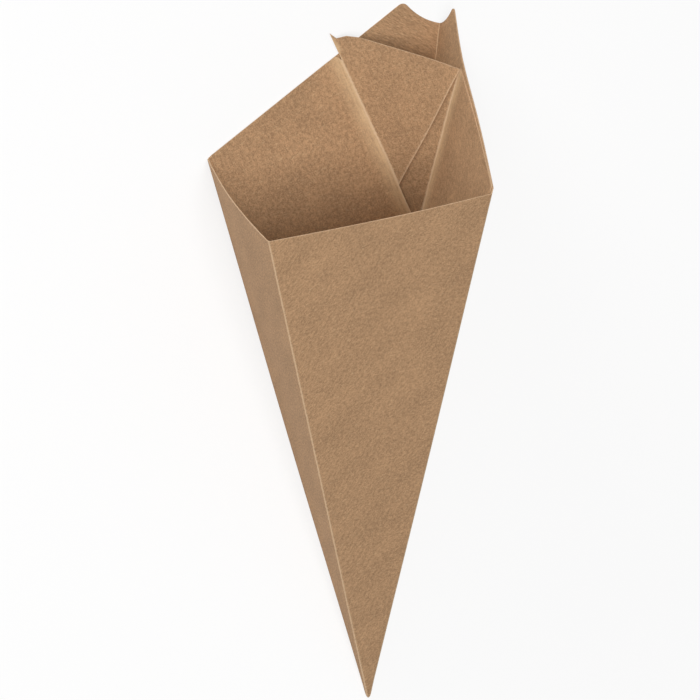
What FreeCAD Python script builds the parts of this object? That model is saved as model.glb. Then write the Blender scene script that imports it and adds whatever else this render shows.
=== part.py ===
import FreeCAD, Part
import math
import os

from FreeCAD import Vector

# Folded board cone with a sauce pocket in its raised corner, lying on its back panel.
# Z is up, Y runs from the tip to the mouth and X across the back panel.
# Four creases run from the tip: back_crease and side_crease border the back panel,
# front_crease and far_crease lie above them. The raised corner is at back_crease.

# Board
board = 0.45
fold_radius = 1.1
tip_fold_radius = 0.5

# Four equal panels, each a triangle from the tip to the rim
rim_length = 212.0
panel_angle = 24.6
corner_angle = 80.5
tip_blunting = 3.4

# Raised corner: an ear on each side of a shallow hollow
ear_reach = 257.5
ear_offset = 16.2
ear_rounding = 2.6
hollow_reach = 250.5

# Pocket wall across the raised corner, folded from the linings
pocket_start = 175.8
back_fold_angle = 33.6
side_fold_angle = 27.6
wall_spike_reach = 80.5
wall_corner_reach = 70.0
wall_dip = 1.4
wall_shoulder = 1.2
glue_edge_start = 18.0
glue_overlap = 10.0
fold_root = 0.8
bead_radius = 0.35

# Linings on the back panel and on the panel across the raised corner
lining_start = 16.0
lining_gap = 1.6
lining_drop = 0.5

# Room that the trimming cuts need outside and inside the board
outside_room = 1.0
inside_room = 1.3

panel_turn = math.radians(panel_angle)
corner_turn = math.radians(corner_angle)
up = Vector(0, 0, 1)


def unit(vector):
    return vector * (1 / vector.Length)


# Crease directions. The second panel at the raised corner is called the side panel.
back_crease = Vector(math.sin(panel_turn / 2), math.cos(panel_turn / 2), 0)
side_crease = Vector(-math.sin(panel_turn / 2), math.cos(panel_turn / 2), 0)
back_across = Vector(-math.cos(panel_turn / 2), math.sin(panel_turn / 2), 0)
side_across = back_across * math.cos(corner_turn) + up * math.sin(corner_turn)
side_inward = back_across * math.sin(corner_turn) - up * math.cos(corner_turn)
far_crease = back_crease * math.cos(panel_turn) + side_across * math.sin(panel_turn)
axis = unit(side_crease + far_crease)
front_crease = axis * (2 * back_crease.dot(axis)) - back_crease
face_slope = math.asin(axis.dot(up))


def wire(points):
    """Closed outline. A pair of points is an arc through the first to the second."""
    edges = []
    here = points[0]
    for step in points[1:] + [points[0]]:
        if isinstance(step, tuple):
            edges.append(Part.Arc(here, step[0], step[1]).toShape())
            here = step[1]
        else:
            edges.append(Part.LineSegment(here, step).toShape())
            here = step
    return Part.Wire(edges)


def plate(points, normal, low, high):
    """Flat sheet on an outline, from low to high along its normal."""
    sheet = Part.Face(wire(points)).extrude(normal * (high - low))
    sheet.translate(normal * low)
    return sheet


def section(height, inset, radius):
    """Rounded outline across the cone at a height along its axis."""
    in_radius = height * math.tan(face_slope)
    shrink = 1 - inset / math.cos(face_slope) / in_radius
    centre = axis * height
    corners = []
    for crease in (side_crease, back_crease, far_crease, front_crease):
        corner = crease * (height / crease.dot(axis))
        corners.append(centre + (corner - centre) * shrink)
    rounds = []
    for index, corner in enumerate(corners):
        before = unit(corners[index - 1] - corner)
        after = unit(corners[(index + 1) % 4] - corner)
        half_turn = before.getAngle(after) / 2
        reach = radius / math.tan(half_turn)
        middle = corner + unit(before + after) * (radius / math.sin(half_turn) - radius)
        rounds.append((corner + before * reach, middle, corner + after * reach))
    return rounds


def outline_face(rounds):
    points = [rounds[0][0], rounds[0][1:]]
    for start, middle, end in rounds[1:]:
        points += [start, (middle, end)]
    return Part.Face(wire(points))


def pyramid(low, high, inset, low_radius, high_radius):
    """Flat faces joined by rounded creases, between two heights."""
    lower = section(low, inset, low_radius)
    upper = section(high, inset, high_radius)
    faces = [outline_face(lower), outline_face(upper)]
    for index in range(4):
        low_arc = Part.Arc(*lower[index]).toShape()
        high_arc = Part.Arc(*upper[index]).toShape()
        faces.append(Part.makeRuledSurface(low_arc, high_arc))
        low_next = lower[(index + 1) % 4][0]
        high_next = upper[(index + 1) % 4][0]
        faces.append(Part.Face(wire([lower[index][2], low_next, high_next, upper[index][2]])))
    shell = Part.makeShell(faces)
    shell.sewShape()
    return Part.makeSolid(shell)


# Four joined panels, still too tall

full_height = ear_reach + ear_offset
blunt_radius = min(tip_fold_radius, tip_blunting * math.tan(face_slope) / 2)
void_start = tip_blunting + 2 * board / math.sin(face_slope)
outside = pyramid(tip_blunting, full_height, 0, blunt_radius, fold_radius)
inside = pyramid(void_start, full_height + board, board, blunt_radius / 2, fold_radius - board)
panels = outside.cut(inside)

# Outline of a raised panel, measured along back_crease and across from it

rim_along = rim_length * math.cos(panel_turn)
rim_across = rim_length * math.sin(panel_turn)
ear_length = math.hypot(ear_reach - rim_along, rim_across - ear_offset)
hollow_depth = ear_reach - hollow_reach
hollow_radius = (ear_offset ** 2 + hollow_depth ** 2) / (2 * hollow_depth)


def spot(across, along, sideways):
    return back_crease * along + across * sideways


def on_hollow(across, sideways):
    rise = hollow_radius - math.sqrt(hollow_radius ** 2 - sideways ** 2)
    return spot(across, hollow_reach + rise, sideways)


def on_ear_edge(across, distance):
    """Point on the straight edge, at a distance from the ear's sharp corner."""
    share = distance / ear_length
    along = ear_reach + (rim_along - ear_reach) * share
    return spot(across, along, ear_offset + (rim_across - ear_offset) * share)


def raised_cut(across, inward, crease):
    """All that stands above a raised panel's edge."""
    rim_corner = crease * rim_length
    beyond = unit(across - crease * across.dot(crease)) * outside_room
    ear_round = (
        spot(across, ear_reach - ear_rounding * 0.45, ear_offset - ear_rounding * 0.05),
        on_hollow(across, ear_offset - ear_rounding * 0.75),
    )
    hollow = (on_hollow(across, ear_offset / 2), on_hollow(across, -outside_room))
    outline = [
        rim_corner + beyond,
        rim_corner,
        on_ear_edge(across, ear_rounding),
        ear_round,
        hollow,
        spot(across, 2 * full_height, -outside_room),
        spot(across, 2 * full_height, full_height),
    ]
    return plate(outline, inward, -outside_room, inside_room)


def rim_cut(first, second):
    """All that stands above the straight rim between two creases."""
    inward = unit(first.cross(second))
    if inward.dot(axis) < 0:
        inward = inward * -1
    along_rim = unit(second - first)
    start = first * rim_length - along_rim * outside_room
    end = second * rim_length + along_rim * outside_room
    outline = [start, end, end + second * full_height, start + first * full_height]
    return plate(outline, inward, -outside_room, inside_room)


cuts = [
    raised_cut(back_across, up, side_crease),
    raised_cut(side_across, side_inward, far_crease),
    rim_cut(far_crease, front_crease),
    rim_cut(side_crease, front_crease),
]
panels = panels.cut(cuts)

# The two folds of the pocket, as directions from its foot on the raised corner's crease

back_fold_turn = math.radians(back_fold_angle)
side_fold_turn = math.radians(side_fold_angle)
back_fold = back_crease * math.cos(back_fold_turn) + back_across * math.sin(back_fold_turn)
side_fold = back_crease * math.cos(side_fold_turn) + side_across * math.sin(side_fold_turn)
edge_slope = (ear_reach - rim_along) / (rim_across - ear_offset)


def fold_length(fold_turn):
    """From the foot of a pocket fold to the lining's top edge."""
    edge_base = rim_along + rim_across * edge_slope - lining_drop
    return (edge_base - pocket_start) / (math.cos(fold_turn) + math.sin(fold_turn) * edge_slope)


back_fold_length = fold_length(back_fold_turn)
side_fold_length = fold_length(side_fold_turn)

# Linings, one board thick on the panels' inner faces. Each ends at its pocket fold.


def lining(across, inward, crease, fold_end):
    gap = unit(crease * across.dot(crease) - across) * lining_gap
    outline = [
        back_crease * lining_start,
        back_crease * pocket_start,
        back_crease * pocket_start + fold_end,
        crease * (rim_length - lining_drop) + gap,
        crease * lining_start + gap,
    ]
    return plate(outline, inward, board, 2 * board)


linings = [
    lining(back_across, up, side_crease, back_fold * back_fold_length),
    lining(side_across, side_inward, far_crease, side_fold * side_fold_length),
]

# Pocket wall: the back lining's flap, glued over a narrower flap of the side lining.
# Each is placed by the middle of its board, and its root runs down into its fold.

middle = 1.5 * board
corner_shift = back_across * ((1 + math.cos(corner_turn)) / math.sin(corner_turn)) + up
wall_foot = back_crease * pocket_start + corner_shift * middle
wall_front = unit(side_fold.cross(back_fold))
flap_foot = wall_foot - back_crease * (board / wall_front.dot(back_crease))


def on_sheet(foot, along_back, along_side):
    """Point of the wall or its flap, by distances along the two folds."""
    return foot + back_fold * along_back + side_fold * along_side


def on_wall_top(share, rise):
    """Point at a share of the way along the wall's top, raised from the straight line."""
    point = on_sheet(wall_foot, wall_spike_reach * (1 - share), wall_corner_reach * share)
    return point + unit(point - wall_foot) * rise


wall = plate(
    [
        on_sheet(wall_foot, glue_edge_start, -fold_root),
        on_sheet(wall_foot, back_fold_length, -fold_root),
        on_sheet(wall_foot, back_fold_length, 0),
        on_wall_top(0, 0),
        (on_wall_top(0.045, -wall_dip), on_wall_top(0.13, wall_shoulder / 2)),
        on_wall_top(0.22, wall_shoulder),
        on_wall_top(1, 0),
        on_sheet(wall_foot, glue_edge_start, 0),
    ],
    wall_front,
    -board / 2,
    board / 2,
)
flap = plate(
    [
        on_sheet(flap_foot, -fold_root, -fold_root),
        on_sheet(flap_foot, glue_edge_start + glue_overlap, -fold_root),
        on_sheet(flap_foot, 0, wall_corner_reach - lining_gap),
        on_sheet(flap_foot, -fold_root, wall_corner_reach - lining_gap),
    ],
    wall_front,
    -board / 2,
    board / 2,
)
beads = [
    Part.makeCylinder(bead_radius, back_fold_length, wall_foot, back_fold),
    Part.makeCylinder(bead_radius, wall_corner_reach, flap_foot, side_fold),
]

inner_sheets = [sheet.common(outside) for sheet in linings + beads + [wall, flap]]
cup = panels.fuse(inner_sheets).removeSplitter()

# The origin is under the middle of the lying cup
box = cup.optimalBoundingBox(False, False)
cup.translate(Vector(-box.Center.x, -box.Center.y, -box.ZMin))

os.makedirs("parts", exist_ok=True)
cup.exportStep("parts/cup.step")
print("solids", len(cup.Solids), "valid", cup.isValid(), "volume", round(cup.Volume, 1))
print("size", round(box.XLength, 2), round(box.YLength, 2), round(box.ZLength, 2))
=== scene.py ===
import math

import bpy
import numpy as np
from mathutils import Matrix, Vector, noise
from mathutils.geometry import delaunay_2d_cdt, intersect_point_line


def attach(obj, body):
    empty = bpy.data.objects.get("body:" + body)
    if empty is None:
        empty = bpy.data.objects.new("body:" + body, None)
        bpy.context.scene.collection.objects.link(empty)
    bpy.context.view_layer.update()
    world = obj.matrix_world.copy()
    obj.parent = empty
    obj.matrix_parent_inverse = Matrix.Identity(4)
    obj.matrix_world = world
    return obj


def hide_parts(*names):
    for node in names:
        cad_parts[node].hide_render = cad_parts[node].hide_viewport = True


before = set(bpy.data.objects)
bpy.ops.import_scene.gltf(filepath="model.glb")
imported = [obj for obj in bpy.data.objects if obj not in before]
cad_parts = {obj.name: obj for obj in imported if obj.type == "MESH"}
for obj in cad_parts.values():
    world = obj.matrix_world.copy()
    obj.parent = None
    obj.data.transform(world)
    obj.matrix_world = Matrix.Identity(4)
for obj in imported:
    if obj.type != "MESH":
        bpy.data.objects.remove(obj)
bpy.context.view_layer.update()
print("frame loaded")

# The whole cup is worked out in millimetres, from the place where its creases would meet below
# the blunt tip. It lies on its back panel. Right, left and front are those of the upright cup.
cone = {
    "tipX": 4.872,
    "tipY": -128.565,
    "rimLength": 212.0,     # along each crease
    "panelAngle": 24.6,
    "cornerAngle": 80.5,    # between the back panel and the right one
    "board": 0.45,
    "layerGap": 0.05,       # air between boards that lie on each other
    "foldReach": 1.3,       # how far a crease's rounding goes into each panel
    "noseStart": 3.1,       # height of the blunt tip above the virtual one
    "noseLength": 2.4,
    "rowStep": 2.2,
    "earReach": 257.5,
    "earOffset": 16.2,
    "earRounding": 2.6,
    "hollowReach": 251.1,
    "frontRimBow": 1.3,     # outward, halfway along the rim
    "frontRimDrop": 1.6,    # lower at the right corner
    "leftRimBow": 1.9,
    "rightCreaseBow": 0.9,
    "leftCreaseBow": 0.6,
    "pulledIn": 1.5,        # where the pocket wall holds the right panel
    "pulledAlong": 236.0,
    "pulledAcross": 34.0,
    "pulledWidth": 26.0,
    "pulledDepth": 25.0,    # how far inside the cup it is still felt
    "bowStart": 0.45,       # share of the height at which the rims begin to bow
    "waviness": 0.22,
    "waveLength": 34.0,
    "rowsAtTip": [0.7, 1.5, 2.4, 3.4, 4.5, 5.7, 7.0, 8.6, 10.4],
    "evenRowsFrom": 12.4,
}

up = Vector((0, 0, 1))
tipPlace = Vector((cone["tipX"], cone["tipY"], 0))
panelTurn = math.radians(cone["panelAngle"])
cornerTurn = math.radians(cone["cornerAngle"])
pocketCrease = Vector((math.sin(panelTurn / 2), math.cos(panelTurn / 2), 0))
leftCrease = Vector((-math.sin(panelTurn / 2), math.cos(panelTurn / 2), 0))
acrossBack = Vector((-math.cos(panelTurn / 2), math.sin(panelTurn / 2), 0))
acrossRight = acrossBack * math.cos(cornerTurn) + up * math.sin(cornerTurn)
insideRight = acrossBack * math.sin(cornerTurn) - up * math.cos(cornerTurn)
rightCrease = pocketCrease * math.cos(panelTurn) + acrossRight * math.sin(panelTurn)
coneAxis = (leftCrease + rightCrease).normalized()
frontCrease = coneAxis * (2 * pocketCrease.dot(coneAxis)) - pocketCrease


def ease(low, high, value):
    t = min(max((value - low) / (high - low), 0.0), 1.0)
    return t * t * (3 - 2 * t)


def bell(value, width):
    return math.exp(-((value / width) ** 2))


def pulledInPlace(point):
    # the right panel, its lining and the wall's corner all give way towards the wall
    rel = point - tipPlace
    height = rel.dot(insideRight)
    if height > cone["pulledDepth"]:
        return point
    alongOff = rel.dot(pocketCrease) - cone["pulledAlong"]
    acrossOff = rel.dot(acrossRight) - cone["pulledAcross"]
    amount = cone["pulledIn"] * bell(math.hypot(alongOff, acrossOff), cone["pulledWidth"])
    amount *= (1 - max(height, 0) / cone["pulledDepth"]) ** 2
    return point + insideRight * amount


# Every sheet is kept as its front face, and gets the board's thickness behind it. The texture's
# places are set apart, so that no two faces show the same fibres.
sheets = []
backFaceApart = 7
sheetApart = 31


def addSheet(front, faces, places, folds, foldHighlights):
    # places are the flat sheet's own millimetres, folds the distance to a fold or a worn edge,
    # and the last list how strongly a painted highlight lightens the board beside a fold
    points = np.array([tuple(p) for p in front])
    normals = np.zeros_like(points)
    for face in faces:
        a, b, c = points[face[0]], points[face[1]], points[face[2]]
        d = points[face[-1]]
        turned = np.cross(c - a, d - b) if len(face) == 4 else np.cross(b - a, c - a)
        for i in face:
            normals[i] += turned
    normals /= np.maximum(np.linalg.norm(normals, axis=1), 1e-9)[:, None]
    behind = points - normals * cone["board"]
    used = {}
    for face in faces:
        used.update(dict.fromkeys(zip(face, face[1:] + face[:1])))
    border = [(a, b) for a, b in used if (b, a) not in used]
    sheets.append({
        "points": np.concatenate([points, behind]),
        "faces": list(faces) + [tuple(i + len(points) for i in reversed(f)) for f in faces],
        "edges": [(b, a, a + len(points), b + len(points)) for a, b in border],
        "places": np.concatenate([places, np.array(places) + (0, 0, backFaceApart)]),
        "folds": np.concatenate([folds, folds]),
        "foldHighlights": np.concatenate([foldHighlights, foldHighlights]),
    })


# Outer sheet: four panels round the tip, each grid column a straight line to the rim
def raisedOutline():
    # from the pocket crease to the next one, as (along the pocket crease, across from it)
    depth = cone["earReach"] - cone["hollowReach"]
    radius = (cone["earOffset"] ** 2 + depth ** 2) / (2 * depth)
    rounding = cone["earRounding"]
    sides = [0, 0.25, 0.5, 0.8, 1.2, 1.8, 2.6, 3.6, 4.8, 6.2, 7.6, 9.0, 10.4, 11.8, 13.0]
    sides += [cone["earOffset"] - rounding * 0.75]
    points = [(cone["hollowReach"] + radius - math.sqrt(radius ** 2 - s * s), s) for s in sides]
    corner = Vector((cone["rimLength"] * math.cos(panelTurn), cone["rimLength"] * math.sin(panelTurn)))
    ear = Vector((cone["earReach"], cone["earOffset"]))
    straight = ear + (corner - ear).normalized() * rounding
    start = Vector(points[-1])
    for i in range(1, 8):
        t = i / 8
        points.append(tuple(start * (1 - t) ** 2 + ear * 2 * t * (1 - t) + straight * t * t))
    shares = [0, 0.03, 0.07, 0.13, 0.2, 0.28, 0.36, 0.44, 0.52, 0.6, 0.68, 0.76, 0.83, 0.885]
    shares += [0.925, 0.95, 0.968, 0.978, 0.984, 0.9885, 0.992, 0.995, 0.9975, 1]
    points += [tuple(straight.lerp(corner, share)) for share in shares]
    return points


def outerColumns():
    # (panel, angle from its first crease, reach of the rim); panels go right, front, left, back.
    # They stand close at the creases.
    raised = [(math.atan2(p[1], p[0]), math.hypot(*p)) for p in raisedOutline()]
    steps = [0, 0.07, 0.14, 0.21, 0.28, 0.36, 0.5, 0.75, 1.2, 1.9, 2.9, 4.2, 5.8, 7.8, 10, 12.3]
    steps += [cone["panelAngle"] - s for s in steps[-2::-1]]
    columns = [(0, angle, reach) for angle, reach in raised[:-1]]
    for panel in (1, 2):
        for step in steps[:-1]:
            angle = math.radians(step)
            reach = cone["rimLength"] * math.cos(panelTurn / 2) / math.cos(angle - panelTurn / 2)
            drop = cone["frontRimDrop"] * (1 - angle / panelTurn) if panel == 1 else 0
            columns.append((panel, angle, reach - drop))
    columns += [(3, panelTurn - angle, reach) for angle, reach in raised[:0:-1]]
    return columns


outerCreases = [pocketCrease, rightCrease, frontCrease, leftCrease, pocketCrease]
outwards = [-insideRight, rightCrease.cross(frontCrease), frontCrease.cross(leftCrease), -up]
outwards = [n.normalized() * (1 if n.dot(coneAxis) < 0 else -1) for n in outwards]


def outerPoint(panel, angle, reach):
    first, second = outerCreases[panel], outerCreases[panel + 1]
    nearFirst = angle < panelTurn / 2
    crease = first if nearFirst else second
    turn = angle if nearFirst else panelTurn - angle
    along, across = reach * math.cos(turn), reach * math.sin(turn)
    here = (second - first * math.cos(panelTurn)).normalized()
    if not nearFirst:
        here = (first - second * math.cos(panelTurn)).normalized()
    beyond = outerCreases[(panel - 1) % 4] if nearFirst else outerCreases[(panel + 2) % 4]
    beyond = (beyond - crease * math.cos(panelTurn)).normalized()
    rounding = min(cone["foldReach"], 0.3 * along * math.tan(panelTurn))
    if across < rounding:
        t = (across + rounding) / (2 * rounding)
        offset = (beyond * (1 - t) ** 2 + here * t ** 2) * rounding
    else:
        offset = here * across
    point = crease * along + offset
    # blunt nose
    height = point.dot(coneAxis)
    start, end = cone["noseStart"], cone["noseStart"] + cone["noseLength"]
    if height < end:
        t = height / end
        side = (point - coneAxis * height) / max(height, 1e-6)
        wide = 2 * t * (1 - t) * start + t * t * end
        point = coneAxis * (start * (1 - t * t) + end * t * t) + side * wide
    # bowed rims and creases
    share = angle / panelTurn
    high = reach / cone["rimLength"]
    middle = math.sin(math.pi * share)
    bowed = middle * ease(cone["bowStart"], 1, high)
    if panel in (1, 2):
        flat = (point.x, point.y, 0) if panel == 1 else (0, point.y, point.z)
        wave = noise.noise(Vector(flat) / cone["waveLength"]) * ease(0.1, 0.5, high)
        rimBow = cone["frontRimBow"] if panel == 1 else cone["leftRimBow"]
        point += outwards[panel] * (rimBow * bowed + cone["waviness"] * wave * middle)
    belly = math.sin(math.pi * min(high, 1)) ** 2
    if panel in (0, 1):
        near = share if panel == 0 else 1 - share
        point += acrossRight * cone["rightCreaseBow"] * belly * near
    if panel in (2, 3):
        near = share if panel == 2 else 1 - share
        point += acrossBack * cone["leftCreaseBow"] * belly * near
    return pulledInPlace(tipPlace + point)


def makeOuterSheet():
    columns = outerColumns()
    even = (cone["rimLength"] - cone["evenRowsFrom"]) / cone["rowStep"]
    reaches = cone["rowsAtTip"] + list(np.linspace(cone["evenRowsFrom"], cone["rimLength"], round(even)))
    front = [tipPlace + coneAxis * cone["noseStart"]]
    places, folds = [(0, 0, 0)], [0]
    for base in reaches:
        high = base / cone["rimLength"]
        for panel, angle, rim in columns:
            reach = base + (rim - cone["rimLength"]) * high ** 3
            front.append(outerPoint(panel, angle, reach))
            places.append((reach, reach * (angle + panel * panelTurn), 0))
            folds.append(reach * math.sin(min(angle, panelTurn - angle)))
    count = len(columns)
    faces = [(0, 1 + (i + 1) % count, 1 + i) for i in range(count)]
    for row in range(len(reaches) - 1):
        low = 1 + row * count
        for i in range(count):
            j = (i + 1) % count
            faces.append((low + i, low + j, low + count + j, low + count + i))
    # the grid is seen from outside
    a, b, c = (front[i] for i in faces[len(faces) // 2][:3])
    if (b - a).cross(c - a).dot((a + b + c) / 3 - tipPlace - coneAxis * 100) < 0:
        faces = [tuple(reversed(f)) for f in faces]
    addSheet(front, faces, places, folds, [0] * len(front))


makeOuterSheet()
print("outer sheet folded")

# Linings of the back and right panels. Each folds at a crease from the pocket's foot: the back one
# becomes the pocket wall, the right one the narrow flap that the wall is glued over.
pocket = {
    "start": 175.8,         # foot of both folds, along the pocket crease
    "backFold": 33.6,       # turn of each fold from the pocket crease
    "rightFold": 32.5,
    "foldReach": 0.9,
    "wallSpike": 80.5,      # along the back fold
    "wallCorner": 69.7,     # along the right fold
    "wallTop": [(0.22, 1.2), (0.13, 0.6), (0.045, -1.4)],  # shares from the spike, and rises
    "wallClear": 0.5,       # wall's corner before the right panel
    "glueEdge": 18.0,       # along the back fold
    "flapEdge": 28.0,
    "flapTop": 0.3,         # past the wall's corner
    "foldLift": 0.9,        # the linings rise off the panels beside the folds
    "rightLift": 0.5,
    "foldBand": 7.0,
    "ragged": [(0.22, 0.9, 4), (0.12, 2.7, 9)],  # size, frequency and seed of the right fold's wander
    "wallBow": 0.8,
    "liningStart": 16.0,
    "creaseGap": 1.6,
    "topRise": 0.3,         # lining above the outer sheet's edge
    "notchWidth": 1.2,
    "notchDepth": 2.6,
    "notchRounding": 1.1,
    "foldRows": [0.0, 0.2, 0.45, 0.75, 1.1, 1.6, 2.3, 3.2, 4.3, 5.6, 7.0],
    "spacing": 2.2,
}

backTurn = math.radians(pocket["backFold"])
rightTurn = math.radians(pocket["rightFold"])
backFold = pocketCrease * math.cos(backTurn) + acrossBack * math.sin(backTurn)
rightFold = pocketCrease * math.cos(rightTurn) + acrossRight * math.sin(rightTurn)
wallFront = rightFold.cross(backFold).normalized()
wallTurn = math.acos(backFold.dot(rightFold))
intoBack = acrossBack * math.cos(backTurn) - pocketCrease * math.sin(backTurn)
intoRight = acrossRight * math.cos(rightTurn) - pocketCrease * math.sin(rightTurn)
wallFromBack = (rightFold - backFold * math.cos(wallTurn)).normalized()
wallFromRight = (backFold - rightFold * math.cos(wallTurn)).normalized()

# Front faces lie two boards and a gap above the floor. The flap is a board behind the wall.
layer = 2 * cone["board"] + cone["layerGap"]
corner = acrossBack * ((1 + math.cos(cornerTurn)) / math.sin(cornerTurn)) + up
wallFoot = tipPlace + pocketCrease * pocket["start"] + corner * (1.5 * cone["board"])


def footOf(across, inward, wallSide):
    rise = layer - 1.5 * cone["board"]
    shift = (wallSide - rise * inward.dot(wallFront)) / across.dot(wallFront)
    return wallFoot + inward * rise + across * shift


backFoot = footOf(intoBack, up, cone["board"] / 2)
rightFoot = footOf(intoRight, insideRight, -cone["board"] / 2 - cone["layerGap"])


def foldLiftAt(distance, fromFoot, amount):
    if distance > pocket["foldBand"]:
        return 0
    return amount * (1 - max(distance, 0) / pocket["foldBand"]) ** 2 * ease(6, 30, fromFoot)


def backLift(distance, fromFoot):
    return foldLiftAt(distance, fromFoot, pocket["foldLift"])


def rightLift(distance, fromFoot):
    return foldLiftAt(distance, fromFoot, pocket["rightLift"] * (1 - ease(45, 70, fromFoot)))


def wallShift(toBack, toRight, fromFoot):
    # keeps the wall and its flap on their two raised folds, and bows both together
    shift = up * backLift(toBack, fromFoot) + insideRight * rightLift(toRight, fromFoot)
    bow = pocket["wallBow"] * ease(0, 14, toBack) * ease(0, 14, toRight) * ease(20, 60, fromFoot)
    return shift - wallFront * bow


def bendAt(m, reach, onPanel, onWall):
    # m is positive on the panel and negative on the wall
    if m >= reach:
        return onPanel * m
    if m <= -reach:
        return onWall * -m
    t = (reach - m) / (2 * reach)
    return (onPanel * (1 - t) ** 2 + onWall * t * t) * reach


def backPoint(f, m):
    point = backFoot + backFold * f + bendAt(m, pocket["foldReach"], intoBack, wallFromBack)
    fromFoot = math.hypot(f, m)
    if m >= 0:
        return point + up * backLift(m, fromFoot)
    toRight = f * math.sin(wallTurn) + m * math.cos(wallTurn)
    return pulledInPlace(point + wallShift(-m, toRight, fromFoot))


def rightPoint(f, m):
    ragged = sum(size * noise.noise(Vector((f * often, seed, 0))) for size, often, seed in pocket["ragged"])
    bent = m + ragged * bell(m, 2)
    point = rightFoot + rightFold * f + bendAt(bent, pocket["foldReach"] * 0.8, intoRight, wallFromRight)
    fromFoot = math.hypot(f, m)
    if m >= 0:
        point += insideRight * rightLift(m, fromFoot)
    else:
        toBack = f * math.sin(wallTurn) + m * math.cos(wallTurn)
        point += wallShift(toBack, -m, fromFoot)
    return pulledInPlace(point)


def rounded(points, index, radius):
    before, here, after = (Vector(points[(index + i) % len(points)]) for i in (-1, 0, 1))
    start = here + (before - here).normalized() * radius
    end = here + (after - here).normalized() * radius
    curve = [start * (1 - t) ** 2 + here * 2 * t * (1 - t) + end * t * t for t in (0, 0.25, 0.5, 0.75, 1)]
    return points[:index] + [tuple(p) for p in curve] + points[index + 1:]


def sampled(points, step):
    out = []
    for start, end in zip(points, points[1:] + points[:1]):
        start, end = Vector(start), Vector(end)
        count = max(1, math.ceil((end - start).length / step))
        out += [start.lerp(end, i / count) for i in range(count)]
    return out


def edgeRoom(points, outline):
    # distance of flat points to an outline, negative outside
    best = np.full(len(points), 1e9)
    inside = np.zeros(len(points), bool)
    for a, b in zip(outline, np.roll(outline, -1, axis=0)):
        along = b - a
        t = np.clip(((points - a) @ along) / max(along @ along, 1e-12), 0, 1)
        best = np.minimum(best, np.linalg.norm(points - a - t[:, None] * along, axis=1))
        if a[1] == b[1]:
            continue
        crosses = (a[1] > points[:, 1]) != (b[1] > points[:, 1])
        at = along[0] * (points[:, 1] - a[1]) / along[1] + a[0]
        inside ^= crosses & (points[:, 0] < at)
    return np.where(inside, best, -best)


def makeLining(outline, foldEnd, shape, sheetNumber, flip, wornEdge):
    # the blank's own millimetres run along the fold and across it
    spacing = pocket["spacing"]
    edge = np.array([tuple(p) for p in sampled(outline, spacing * 0.8)])
    low, high = edge.min(0), edge.max(0)
    band = pocket["foldBand"]
    rows = sorted({-r for r in pocket["foldRows"]} | set(pocket["foldRows"]))
    inner = [(f, m) for m in rows for f in np.arange(low[0], foldEnd, 0.7 if abs(m) < 1.2 else 1.3)]
    inner = np.array(inner)
    inner = inner[edgeRoom(inner, edge) > 0.3]
    ys = list(np.arange(band + spacing, high[1], spacing * 0.87))
    ys += list(-np.arange(band + spacing, -low[1], spacing * 0.87))
    xs = np.arange(low[0], high[0], spacing)
    field = [(x + (k % 2) * spacing / 2, y) for k, y in enumerate(ys) for x in xs]
    beyondXs = np.arange(foldEnd + 1, high[0], spacing)
    beyond = [(x, y) for y in np.arange(-band, band + 1, spacing) for x in beyondXs]
    rest = np.array(field + beyond)
    rest = rest[edgeRoom(rest, edge) > spacing * 0.45]
    flat = [Vector(p) for p in np.concatenate([edge, inner, rest])]
    made = delaunay_2d_cdt(flat, [], [list(range(len(edge)))], 1, 1e-5)
    front = [shape(p.x, p.y) for p in made[0]]
    faces = [tuple(reversed(f)) if flip else tuple(f) for f in made[2]]
    places = [(p.x, p.y, sheetNumber * sheetApart) for p in made[0]]
    wornStart, wornEnd = Vector(wornEdge[0]), Vector(wornEdge[1])
    folds, foldHighlights = [], []
    for p in made[0]:
        near, share = intersect_point_line(p, wornStart, wornEnd)
        near = wornStart.lerp(wornEnd, min(max(share, 0), 1))
        folds.append(min(abs(p.y) if p.x < foldEnd else 30, (p - near).length))
        # painted highlight: strongest at the fold on the panel side and fading across the band, where the
        # lifted lining turns towards the light
        foldHighlights.append((1 - p.y / band) ** 1.3 if 0 <= p.y < band else 0)
    addSheet(front, faces, places, folds, foldHighlights)


rimAlong = cone["rimLength"] * math.cos(panelTurn)
rimAcross = cone["rimLength"] * math.sin(panelTurn)
earSlope = (cone["earReach"] - rimAlong) / (rimAcross - cone["earOffset"])
topBase = rimAlong + rimAcross * earSlope + pocket["topRise"]


def liningOutline(foot, across, turn):
    # the lining's part of the blank, from its low corner by the pocket crease round to the fold
    rel = foot - tipPlace
    x0, y0 = rel.dot(pocketCrease), rel.dot(across)

    def toBlank(x, y):
        return (
            (x - x0) * math.cos(turn) + (y - y0) * math.sin(turn),
            (y - y0) * math.cos(turn) - (x - x0) * math.sin(turn),
        )

    foldTop = (topBase - x0 - y0 * earSlope) / (math.cos(turn) + math.sin(turn) * earSlope)
    gap = pocket["creaseGap"]
    along = Vector((math.cos(panelTurn), math.sin(panelTurn)))
    side = Vector((math.sin(panelTurn), -math.cos(panelTurn))) * gap
    low = along * pocket["liningStart"] + side
    # where the line beside the crease meets the top edge
    reach = (topBase - side.x - side.y * earSlope) / (along.x + along.y * earSlope)
    high = along * reach + side
    first = toBlank(pocket["liningStart"], y0)
    return foldTop, [toBlank(*high), toBlank(*low), first, (0.0, 0.0)]


def inWall(alongFirst, alongSecond):
    # blank place of a point given along the sheet's own fold and along the other one
    return (alongFirst + alongSecond * math.cos(wallTurn), -alongSecond * math.sin(wallTurn))


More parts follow.
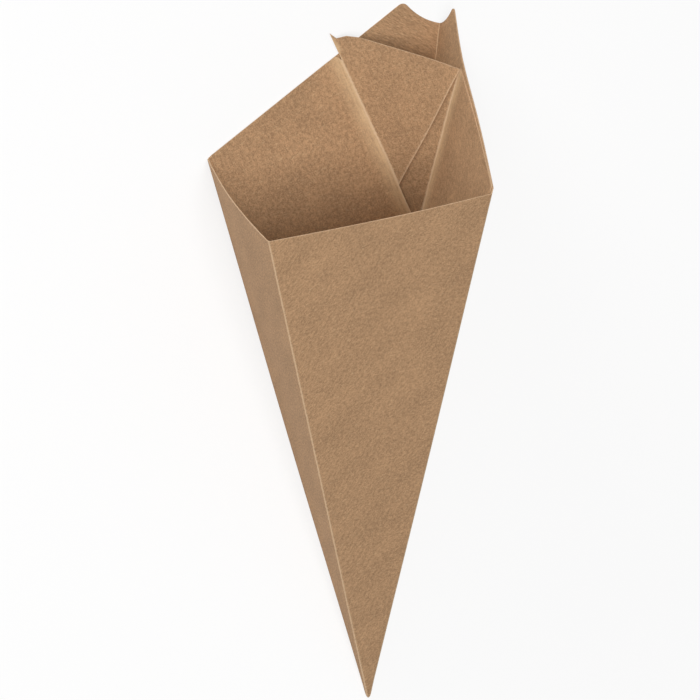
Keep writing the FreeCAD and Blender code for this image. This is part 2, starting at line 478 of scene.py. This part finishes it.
def makeBackLining():
    foldTop, outline = liningOutline(backFoot, acrossBack, backTurn)
    offRight = Vector((math.sin(wallTurn), math.cos(wallTurn)))
    corner = Vector(inWall(0, pocket["wallCorner"])) + offRight * pocket["wallClear"]
    outline += [(pocket["glueEdge"], 0.0), tuple(corner)]
    spike = Vector((pocket["wallSpike"], 0))
    radial = spike.lerp(corner, 0.3).normalized()
    outline += [tuple(spike.lerp(corner, share) + radial * rise) for share, rise in pocket["wallTop"]]
    outline += [tuple(spike), (foldTop - pocket["notchDepth"], 0.0)]
    topWay = (Vector(outline[0]) - Vector((foldTop, 0))).normalized()
    outline.append(tuple(Vector((foldTop, 0)) + topWay * pocket["notchWidth"]))
    outline = rounded(outline, len(outline) - 1, pocket["notchRounding"])
    makeLining(outline, foldTop, backPoint, 1, False, ((pocket["glueEdge"], 0), corner))


def makeRightLining():
    outline = liningOutline(rightFoot, acrossRight, rightTurn)[1]
    flapTop = pocket["wallCorner"] + pocket["flapTop"]
    outline += [inWall(0, pocket["flapEdge"]), (flapTop, 0.0)]
    makeLining(outline, flapTop, rightPoint, 2, True, ((0, 0), (pocket["wallCorner"], 0)))


makeBackLining()
makeRightLining()
print("linings and pocket wall folded")


def makeCup():
    points = np.concatenate([s["points"] for s in sheets]) * 0.001  # to metres
    faces, kinds, sharp = [], [], set()
    start = 0
    for sheet in sheets:
        faces += [tuple(i + start for i in face) for face in sheet["faces"]]
        kinds += [0] * len(sheet["faces"])
        for face in sheet["edges"]:
            face = tuple(i + start for i in face)
            faces.append(face)
            sharp.add(frozenset(face[:2]))
            sharp.add(frozenset(face[2:]))
        kinds += [1] * len(sheet["edges"])
        start += len(sheet["points"])
    data = bpy.data.meshes.new("kraftCup")
    data.from_pydata([tuple(p) for p in points], [], faces)
    data.polygons.foreach_set("material_index", kinds)
    data.polygons.foreach_set("use_smooth", [True] * len(faces))
    data.edges.foreach_set("use_edge_sharp", [frozenset(e.vertices) in sharp for e in data.edges])
    place = data.attributes.new("sheetPlace", "FLOAT_VECTOR", "POINT")
    place.data.foreach_set("vector", np.concatenate([s["places"] for s in sheets]).ravel())
    fold = data.attributes.new("foldDistance", "FLOAT", "POINT")
    fold.data.foreach_set("value", np.concatenate([s["folds"] for s in sheets]))
    # strength of the painted highlight beside the linings' folds
    rub = data.attributes.new("foldHighlightBand", "FLOAT", "POINT")
    rub.data.foreach_set("value", np.concatenate([s["foldHighlights"] for s in sheets]))
    data.update()
    cup = bpy.data.objects.new("kraftCup", data)
    bpy.context.scene.collection.objects.link(cup)
    return cup


kraftCup = makeCup()
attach(kraftCup, "root")
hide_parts("cup")
print("cup made,", len(kraftCup.data.polygons), "faces")

# Kraft board
kraft = {
    "colour": (0.40, 0.242, 0.130),
    "dark": (0.27, 0.155, 0.083),
    # pale tone, used for pale fibres and for the painted highlight beside the folds
    "pale": (0.66, 0.46, 0.265),
    "cracked": (0.66, 0.47, 0.30),
    "edge": (0.58, 0.41, 0.265),
    "mottleDepth": 0.28,
    "darkFibres": 0.45,     # strengths of the effects
    "paleFibres": 0.4,
    # strength of the painted highlight beside the folds, in the pale tone
    "highlightBesideFolds": 0.9,
    "crackedFolds": 0.75,
    "roughness": 0.86,
    "specular": 0.25,
    "relief": 0.35,
    "reliefHeight": 0.00012,
}


def addNode(tree, kind, **settings):
    node = tree.nodes.new(kind)
    for name, value in settings.items():
        setattr(node, name, value)
    return node


def feed(tree, socket, value):
    # a link, a colour or a number
    if isinstance(value, bpy.types.NodeSocket):
        tree.links.new(value, socket)
    elif isinstance(value, tuple):
        socket.default_value = (*value, 1)
    else:
        socket.default_value = value


def mixColour(tree, amount, first, second):
    mix = addNode(tree, "ShaderNodeMix", data_type="RGBA")
    feed(tree, mix.inputs[0], amount)
    feed(tree, mix.inputs[6], first)
    feed(tree, mix.inputs[7], second)
    return mix.outputs[2]


def mathNode(tree, operation, first, second):
    node = addNode(tree, "ShaderNodeMath", operation=operation)
    feed(tree, node.inputs[0], first)
    feed(tree, node.inputs[1], second)
    return node.outputs[0]


def mapRange(tree, value, low, high, toLow=0.0, toHigh=1.0):
    node = addNode(tree, "ShaderNodeMapRange", clamp=True)
    tree.links.new(value, node.inputs["Value"])
    for socket, number in zip(list(node.inputs)[1:5], (low, high, toLow, toHigh)):
        socket.default_value = number
    return node.outputs["Result"]


def noiseNode(tree, place, scale, detail=3.0, stretch=None):
    if stretch:
        mapping = addNode(tree, "ShaderNodeMapping")
        mapping.inputs["Scale"].default_value = stretch
        tree.links.new(place, mapping.inputs["Vector"])
        place = mapping.outputs[0]
    node = addNode(tree, "ShaderNodeTexNoise")
    tree.links.new(place, node.inputs["Vector"])
    node.inputs["Scale"].default_value = scale
    node.inputs["Detail"].default_value = detail
    return node.outputs["Fac"]


def fibreGroup():
    # mottled grain, dark and pale fibres, and their relief
    tree = bpy.data.node_groups.new("kraftFibres", "ShaderNodeTree")
    tree.interface.new_socket("Place", in_out="INPUT", socket_type="NodeSocketVector")
    for name in ("Mottle", "Dark fibres", "Pale fibres", "Relief"):
        tree.interface.new_socket(name, in_out="OUTPUT", socket_type="NodeSocketFloat")
    start = addNode(tree, "NodeGroupInput")
    end = addNode(tree, "NodeGroupOutput")
    place = start.outputs["Place"]
    cloud = noiseNode(tree, place, 0.07, 2)
    blotch = noiseNode(tree, place, 0.8, 4)
    grain = noiseNode(tree, place, 2.1, 3)
    mottle = mathNode(tree, "MULTIPLY", cloud, 0.14)
    mottle = mathNode(tree, "ADD", mottle, mathNode(tree, "MULTIPLY", blotch, 0.36))
    mottle = mathNode(tree, "ADD", mottle, mathNode(tree, "MULTIPLY", grain, 0.5))
    tree.links.new(mottle, end.inputs["Mottle"])
    along = noiseNode(tree, place, 1.5, 2, (0.3, 1.6, 1))
    across = noiseNode(tree, place, 1.5, 2, (1.5, 0.35, 1))
    tree.links.new(mapRange(tree, along, 0.60, 0.74), end.inputs["Dark fibres"])
    tree.links.new(mapRange(tree, across, 0.60, 0.74), end.inputs["Pale fibres"])
    fine = noiseNode(tree, place, 4.5, 2)
    relief = mathNode(tree, "MULTIPLY", grain, 0.6)
    relief = mathNode(tree, "ADD", relief, mathNode(tree, "MULTIPLY", fine, 0.25))
    relief = mathNode(tree, "ADD", relief, mathNode(tree, "MULTIPLY", across, 0.3))
    tree.links.new(relief, end.inputs["Relief"])
    return tree


def foldWearAndHighlightGroup():
    # masks from the distance to the nearest fold: cracked fibres on the line, and a painted highlight
    # beside it, broken into streaks
    tree = bpy.data.node_groups.new("foldWearAndHighlight", "ShaderNodeTree")
    tree.interface.new_socket("Place", in_out="INPUT", socket_type="NodeSocketVector")
    tree.interface.new_socket("Distance", in_out="INPUT", socket_type="NodeSocketFloat")
    tree.interface.new_socket("Highlight band", in_out="INPUT", socket_type="NodeSocketFloat")
    tree.interface.new_socket("Cracked", in_out="OUTPUT", socket_type="NodeSocketFloat")
    tree.interface.new_socket("Painted highlight", in_out="OUTPUT", socket_type="NodeSocketFloat")
    start = addNode(tree, "NodeGroupInput")
    end = addNode(tree, "NodeGroupOutput")
    place = start.outputs["Place"]
    broken = noiseNode(tree, place, 1.0, 4)
    uneven = mathNode(tree, "MULTIPLY", mathNode(tree, "SUBTRACT", broken, 0.5), 1.3)
    distance = mathNode(tree, "ADD", start.outputs["Distance"], uneven)
    cracked = mapRange(tree, distance, 0.15, 0.7, 1, 0)
    tree.links.new(cracked, end.inputs["Cracked"])
    # painted highlight beside the fold, in streaks
    streaks = noiseNode(tree, place, 1.0, 3, (0.14, 1.3, 1))
    streaks = mapRange(tree, streaks, 0.3, 0.6, 0.45, 1)
    paintedHighlight = mathNode(tree, "MULTIPLY", start.outputs["Highlight band"], streaks)
    tree.links.new(paintedHighlight, end.inputs["Painted highlight"])
    return tree


fibres = fibreGroup()
foldWearAndHighlight = foldWearAndHighlightGroup()


def useGroup(tree, group):
    return addNode(tree, "ShaderNodeGroup", node_tree=group)


def attribute(tree, name, output):
    return addNode(tree, "ShaderNodeAttribute", attribute_name=name).outputs[output]


def kraftMaterial(name, isEdge):
    material = bpy.data.materials.new(name)
    material.use_nodes = True
    tree = material.node_tree
    shader = tree.nodes["Principled BSDF"]
    place = attribute(tree, "sheetPlace", "Vector")
    board = useGroup(tree, fibres)
    tree.links.new(place, board.inputs["Place"])
    mottle = mapRange(tree, board.outputs["Mottle"], 0.40, 0.60)
    if isEdge:
        colour = mixColour(tree, mottle, kraft["colour"], kraft["edge"])
    else:
        wearAndHighlight = useGroup(tree, foldWearAndHighlight)
        tree.links.new(place, wearAndHighlight.inputs["Place"])
        tree.links.new(attribute(tree, "foldDistance", "Fac"), wearAndHighlight.inputs["Distance"])
        tree.links.new(attribute(tree, "foldHighlightBand", "Fac"), wearAndHighlight.inputs["Highlight band"])
        darker = tuple((1 - kraft["mottleDepth"]) * c for c in kraft["colour"])
        lighter = tuple((1 + kraft["mottleDepth"]) * c for c in kraft["colour"])
        colour = mixColour(tree, mottle, darker, lighter)
        layers = [
            (board.outputs["Dark fibres"], "darkFibres", "dark"),
            (board.outputs["Pale fibres"], "paleFibres", "pale"),
            # painted highlight beside the folds
            (wearAndHighlight.outputs["Painted highlight"], "highlightBesideFolds", "pale"),
            (wearAndHighlight.outputs["Cracked"], "crackedFolds", "cracked"),
        ]
        for mask, strength, tone in layers:
            amount = mathNode(tree, "MULTIPLY", mask, kraft[strength])
            colour = mixColour(tree, amount, colour, kraft[tone])
    tree.links.new(colour, shader.inputs["Base Color"])
    shader.inputs["Roughness"].default_value = kraft["roughness"]
    shader.inputs["Specular IOR Level"].default_value = kraft["specular"]
    bump = addNode(tree, "ShaderNodeBump")
    bump.inputs["Strength"].default_value = kraft["relief"]
    bump.inputs["Distance"].default_value = kraft["reliefHeight"]
    tree.links.new(board.outputs["Relief"], bump.inputs["Height"])
    tree.links.new(bump.outputs[0], shader.inputs["Normal"])
    return material


kraftCup.data.materials.append(kraftMaterial("kraftFace", False))
kraftCup.data.materials.append(kraftMaterial("kraftCutEdge", True))
print("kraft board coloured")

# Studio
studio = {
    "worldLight": 0.30,
    "keyPower": 18.5,
    "keyPlace": (-0.45, 0.0, 1.6),
    "keySize": 0.55,
    "fillPower": 14.0,
    "fillPlace": (-0.9, 1.4, 0.35),
    "fillSize": 0.8,
    "floorColour": (0.9, 0.9, 0.9),
    "floorWhite": 0.75,     # share of plain white that the camera sees on the floor
}


def whiteToCamera(tree):
    path = addNode(tree, "ShaderNodeLightPath")
    seen = mathNode(tree, "MAXIMUM", path.outputs["Is Camera Ray"], path.outputs["Is Glossy Ray"])
    return mathNode(tree, "MAXIMUM", seen, path.outputs["Is Transmission Ray"])


def makeFloor():
    bpy.ops.mesh.primitive_plane_add(size=8, location=(0, 0, 0))
    floor = bpy.context.object
    floor.name = "floor"
    material = bpy.data.materials.new("floorPaper")
    material.use_nodes = True
    tree = material.node_tree
    shader = tree.nodes["Principled BSDF"]
    shader.inputs["Base Color"].default_value = (*studio["floorColour"], 1)
    shader.inputs["Roughness"].default_value = 1
    shader.inputs["Specular IOR Level"].default_value = 0
    white = addNode(tree, "ShaderNodeEmission")
    mix = addNode(tree, "ShaderNodeMixShader")
    tree.links.new(mathNode(tree, "MULTIPLY", whiteToCamera(tree), studio["floorWhite"]), mix.inputs[0])
    tree.links.new(shader.outputs[0], mix.inputs[1])
    tree.links.new(white.outputs[0], mix.inputs[2])
    tree.links.new(mix.outputs[0], tree.nodes["Material Output"].inputs[0])
    floor.data.materials.append(material)


def makeWorld():
    world = bpy.data.worlds.new("studio")
    bpy.context.scene.world = world
    world.use_nodes = True
    tree = world.node_tree
    background = tree.nodes["Background"]
    background.inputs["Color"].default_value = (1, 1, 1, 1)
    level = mapRange(tree, whiteToCamera(tree), 0, 1, studio["worldLight"], 1)
    tree.links.new(level, background.inputs["Strength"])


def makeLamp(name, power, place, size):
    lamp = bpy.data.lights.new(name, "AREA")
    lamp.energy = power
    lamp.size = size
    body = bpy.data.objects.new(name, lamp)
    body.location = place
    body.rotation_euler = (-Vector(place)).to_track_quat("-Z", "Y").to_euler()
    bpy.context.scene.collection.objects.link(body)


makeFloor()
makeWorld()
makeLamp("keyLamp", studio["keyPower"], studio["keyPlace"], studio["keySize"])
makeLamp("fillLamp", studio["fillPower"], studio["fillPlace"], studio["fillSize"])
print("studio lit")

view = {
    "lens": 600,
    "place": (-1.7852, 0.4707, 3.8337),
    "towards": (0.4215, -0.1100, -0.9001),
    "upward": (0.1263, 0.9901, -0.0619),
}


def makeCamera():
    camera = bpy.data.cameras.new("photoView")
    camera.lens = view["lens"]
    camera.sensor_width = 36
    back = -Vector(view["towards"]).normalized()
    right = Vector(view["upward"]).cross(back).normalized()
    upward = back.cross(right)
    body = bpy.data.objects.new("photoView", camera)
    turn = Matrix((right, upward, back)).transposed().to_4x4()
    body.matrix_world = Matrix.Translation(view["place"]) @ turn
    bpy.context.scene.collection.objects.link(body)
    bpy.context.scene.camera = body


makeCamera()
bpy.context.scene.view_settings.view_transform = "Standard"

print("camera set")
